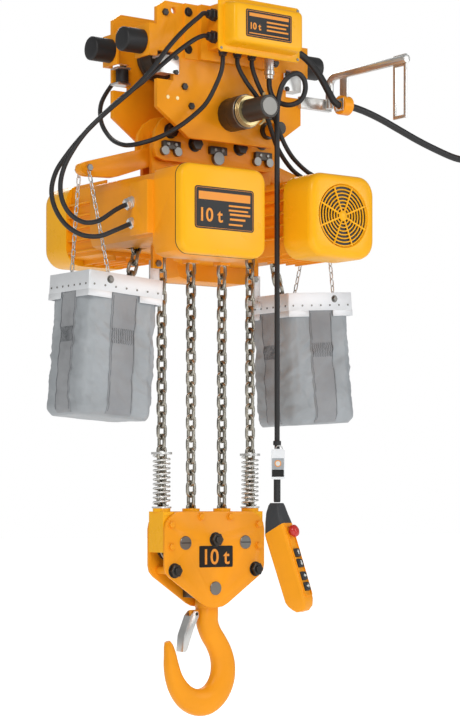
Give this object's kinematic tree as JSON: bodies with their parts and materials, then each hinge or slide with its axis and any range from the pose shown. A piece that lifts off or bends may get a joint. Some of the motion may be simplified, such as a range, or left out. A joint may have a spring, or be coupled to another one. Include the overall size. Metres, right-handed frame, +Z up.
{
  "type": "chain hoist",
  "caption": "Motor-driven chain hoist in twin layout on a beam trolley, with chain bags, a fork block and swivel hook, a control box and a hanging pendant control.",
  "frame": {"origin": "on the runway beam's centre line, midway between the wheels, at the height of the flange they run on", "axes": "+X along the runway beam, -Y towards the operator's side with the control box, +Z up"},
  "size_m": [1.5391, 0.922, 2.168],
  "materials": {
    "orange_paint": "satin orange paint",
    "yellow_paint": "gloss yellow-orange paint",
    "zinc": "bright zinc plate",
    "dark_steel": "dark oxide on machined steel",
    "chain": "nickel plated round link chain",
    "black_rubber": "black cable sheath and rollers",
    "black_plastic": "matt black",
    "bag_fabric": "coated silver-grey fabric",
    "white_aluminium": "pale anodised sheet",
    "pendant_yellow": "orange moulded plastic",
    "red_plastic": "red moulded plastic"
  },
  "bodies": {
    "trolley": {"side_plate_front": "orange_paint", "side_plate_rear": "orange_paint", "trolley_motor": "orange_paint", "panel_base": "orange_paint", "frame_plate_front": "orange_paint", "frame_plate_rear": "orange_paint", "festoon_carrier": "orange_paint", "gear_case_left": "orange_paint", "motor_frame_left": "orange_paint", "bag_arm_left": "orange_paint", "control_cover_left": "yellow_paint", "fan_cover_left": "yellow_paint", "load_chain_left": "chain", "bag_frame_left": "white_aluminium", "chain_bag_left": "bag_fabric", "gear_case_right": "orange_paint", "motor_frame_right": "orange_paint", "bag_arm_right": "orange_paint", "control_cover_right": "yellow_paint", "fan_cover_right": "yellow_paint", "load_chain_right": "chain", "bag_frame_right": "white_aluminium", "chain_bag_right": "bag_fabric", "panel_cover": "yellow_paint", "suspension_shaft": "dark_steel", "tow_arm": "zinc", "jumper_cable_upper": "black_rubber", "jumper_cable_lower": "black_rubber", "trolley_motor_cable": "black_rubber", "right_hoist_cable_1": "black_rubber", "right_hoist_cable_2": "black_rubber", "pendant_cable": "black_rubber", "supply_cable": "black_rubber", "instruction_tag": "white_aluminium"},
    "wheel_front_left": {"wheel_front_left": "dark_steel"},
    "wheel_front_right": {"wheel_front_right": "dark_steel"},
    "wheel_rear_right": {"wheel_rear_right": "dark_steel"},
    "wheel_rear_left": {"wheel_rear_left": "dark_steel"},
    "guide_roller_front_left": {"guide_roller_front_left": "black_rubber"},
    "guide_roller_front_right": {"guide_roller_front_right": "black_rubber"},
    "guide_roller_rear_right": {"guide_roller_rear_right": "black_rubber"},
    "guide_roller_rear_left": {"guide_roller_rear_left": "black_rubber"},
    "fan_left": {"fan_rotor_left": "black_plastic"},
    "load_sheave_left": {"load_sheave_left": "dark_steel"},
    "idle_sheave_left": {"idle_sheave_left": "dark_steel"},
    "fan_right": {"fan_rotor_right": "black_plastic"},
    "load_sheave_right": {"load_sheave_right": "dark_steel"},
    "idle_sheave_right": {"idle_sheave_right": "dark_steel"},
    "load_block": {"block_plate_front": "orange_paint", "block_plate_rear": "orange_paint", "fall_guide": "yellow_paint", "hook_crosshead": "dark_steel"},
    "hook": {"hook": "orange_paint"},
    "latch": {"hook_latch": "zinc"},
    "pendant": {"pendant_housing": "pendant_yellow"},
    "stop_button": {"pendant_stop_button": "red_plastic"},
    "button_1": {"pendant_button_1": "black_plastic"},
    "button_2": {"pendant_button_2": "black_plastic"},
    "button_3": {"pendant_button_3": "black_plastic"},
    "button_4": {"pendant_button_4": "black_plastic"}
  },
  "joints": [
    {"name": "wheel_front_left_spin", "type": "hinge", "parent": "trolley", "child": "wheel_front_left", "pos_m": [-0.125, 0, 0.062], "axis": [0, 1, 0], "continuous": true},
    {"name": "wheel_front_right_spin", "type": "hinge", "parent": "trolley", "child": "wheel_front_right", "pos_m": [0.125, 0, 0.062], "axis": [0, 1, 0], "continuous": true},
    {"name": "wheel_rear_right_spin", "type": "hinge", "parent": "trolley", "child": "wheel_rear_right", "pos_m": [0.125, 0, 0.062], "axis": [0, 1, 0], "continuous": true},
    {"name": "wheel_rear_left_spin", "type": "hinge", "parent": "trolley", "child": "wheel_rear_left", "pos_m": [-0.125, 0, 0.062], "axis": [0, 1, 0], "continuous": true},
    {"name": "guide_roller_front_left_spin", "type": "hinge", "parent": "trolley", "child": "guide_roller_front_left", "pos_m": [-0.245, -0.104, -0.005], "axis": [0, 0, 1], "continuous": true},
    {"name": "guide_roller_front_right_spin", "type": "hinge", "parent": "trolley", "child": "guide_roller_front_right", "pos_m": [0.245, -0.104, -0.005], "axis": [0, 0, 1], "continuous": true},
    {"name": "guide_roller_rear_right_spin", "type": "hinge", "parent": "trolley", "child": "guide_roller_rear_right", "pos_m": [0.245, 0.104, -0.005], "axis": [0, 0, 1], "continuous": true},
    {"name": "guide_roller_rear_left_spin", "type": "hinge", "parent": "trolley", "child": "guide_roller_rear_left", "pos_m": [-0.245, 0.104, -0.005], "axis": [0, 0, 1], "continuous": true},
    {"name": "fan_left_spin", "type": "hinge", "parent": "trolley", "child": "fan_left", "pos_m": [-0.2148, 0, -0.45], "axis": [0, 1, 0], "continuous": true},
    {"name": "fan_right_spin", "type": "hinge", "parent": "trolley", "child": "fan_right", "pos_m": [0.2148, 0, -0.45], "axis": [0, 1, 0], "continuous": true},
    {"name": "hoist_lift", "type": "slide", "parent": "trolley", "child": "load_block", "axis": [0, 0, 1], "range_m": [0, 0.476], "deforming": ["load_chain_left", "load_chain_right"]},
    {"name": "load_sheave_left_spin", "type": "hinge", "parent": "trolley", "child": "load_sheave_left", "pos_m": [-0.2148, 0, -0.445], "axis": [0, 1, 0], "continuous": true},
    {"name": "idle_sheave_left_spin", "type": "hinge", "parent": "load_block", "child": "idle_sheave_left", "pos_m": [-0.1147, 0, -1.436], "axis": [0, 1, 0], "continuous": true},
    {"name": "load_sheave_right_spin", "type": "hinge", "parent": "trolley", "child": "load_sheave_right", "pos_m": [0.2148, 0, -0.445], "axis": [0, 1, 0], "continuous": true},
    {"name": "idle_sheave_right_spin", "type": "hinge", "parent": "load_block", "child": "idle_sheave_right", "pos_m": [0.1147, 0, -1.436], "axis": [0, 1, 0], "continuous": true},
    {"name": "hook_swivel", "type": "hinge", "parent": "load_block", "child": "hook", "pos_m": [0, 0, -1.577], "axis": [0, 0, 1], "continuous": true},
    {"name": "latch_hinge", "type": "hinge", "parent": "hook", "child": "latch", "pos_m": [-0.05, 0, -1.656], "axis": [0, 1, 0], "range_deg": [-28, 0], "stiffness_Nm_per_rad": 0.4, "springref_deg": 20.05},
    {"name": "pendant_swing", "type": "hinge", "parent": "trolley", "child": "pendant", "pos_m": [0.072, -0.262, -1.314], "axis": [0.9397, 0.342, 0], "range_deg": [-15, 15], "stiffness_Nm_per_rad": 1},
    {"name": "stop_button_press", "type": "slide", "parent": "pendant", "child": "stop_button", "axis": [-0.3239, 0.89, -0.3209], "range_m": [0, 0.004], "stiffness_N_per_m": 400, "springref_m": -0.001},
    {"name": "button_1_press", "type": "slide", "parent": "pendant", "child": "button_1", "axis": [-0.3239, 0.89, -0.3209], "range_m": [0, 0.004], "stiffness_N_per_m": 400, "springref_m": -0.001},
    {"name": "button_2_press", "type": "slide", "parent": "pendant", "child": "button_2", "axis": [-0.3239, 0.89, -0.3209], "range_m": [0, 0.004], "stiffness_N_per_m": 400, "springref_m": -0.001},
    {"name": "button_3_press", "type": "slide", "parent": "pendant", "child": "button_3", "axis": [-0.3239, 0.89, -0.3209], "range_m": [0, 0.004], "stiffness_N_per_m": 400, "springref_m": -0.001},
    {"name": "button_4_press", "type": "slide", "parent": "pendant", "child": "button_4", "axis": [-0.3239, 0.89, -0.3209], "range_m": [0, 0.004], "stiffness_N_per_m": 400, "springref_m": -0.001}
  ],
  "couplings": [
    {"joint": "wheel_front_right_spin", "follows": "wheel_front_left_spin", "ratio": 1},
    {"joint": "wheel_rear_right_spin", "follows": "wheel_front_left_spin", "ratio": 1},
    {"joint": "wheel_rear_left_spin", "follows": "wheel_front_left_spin", "ratio": 1},
    {"joint": "load_sheave_left_spin", "follows": "hoist_lift", "rad_per_m": -44.643},
    {"joint": "load_sheave_right_spin", "follows": "hoist_lift", "rad_per_m": 44.643},
    {"joint": "idle_sheave_left_spin", "follows": "hoist_lift", "rad_per_m": 18.083},
    {"joint": "idle_sheave_right_spin", "follows": "hoist_lift", "rad_per_m": -18.083}
  ]
}
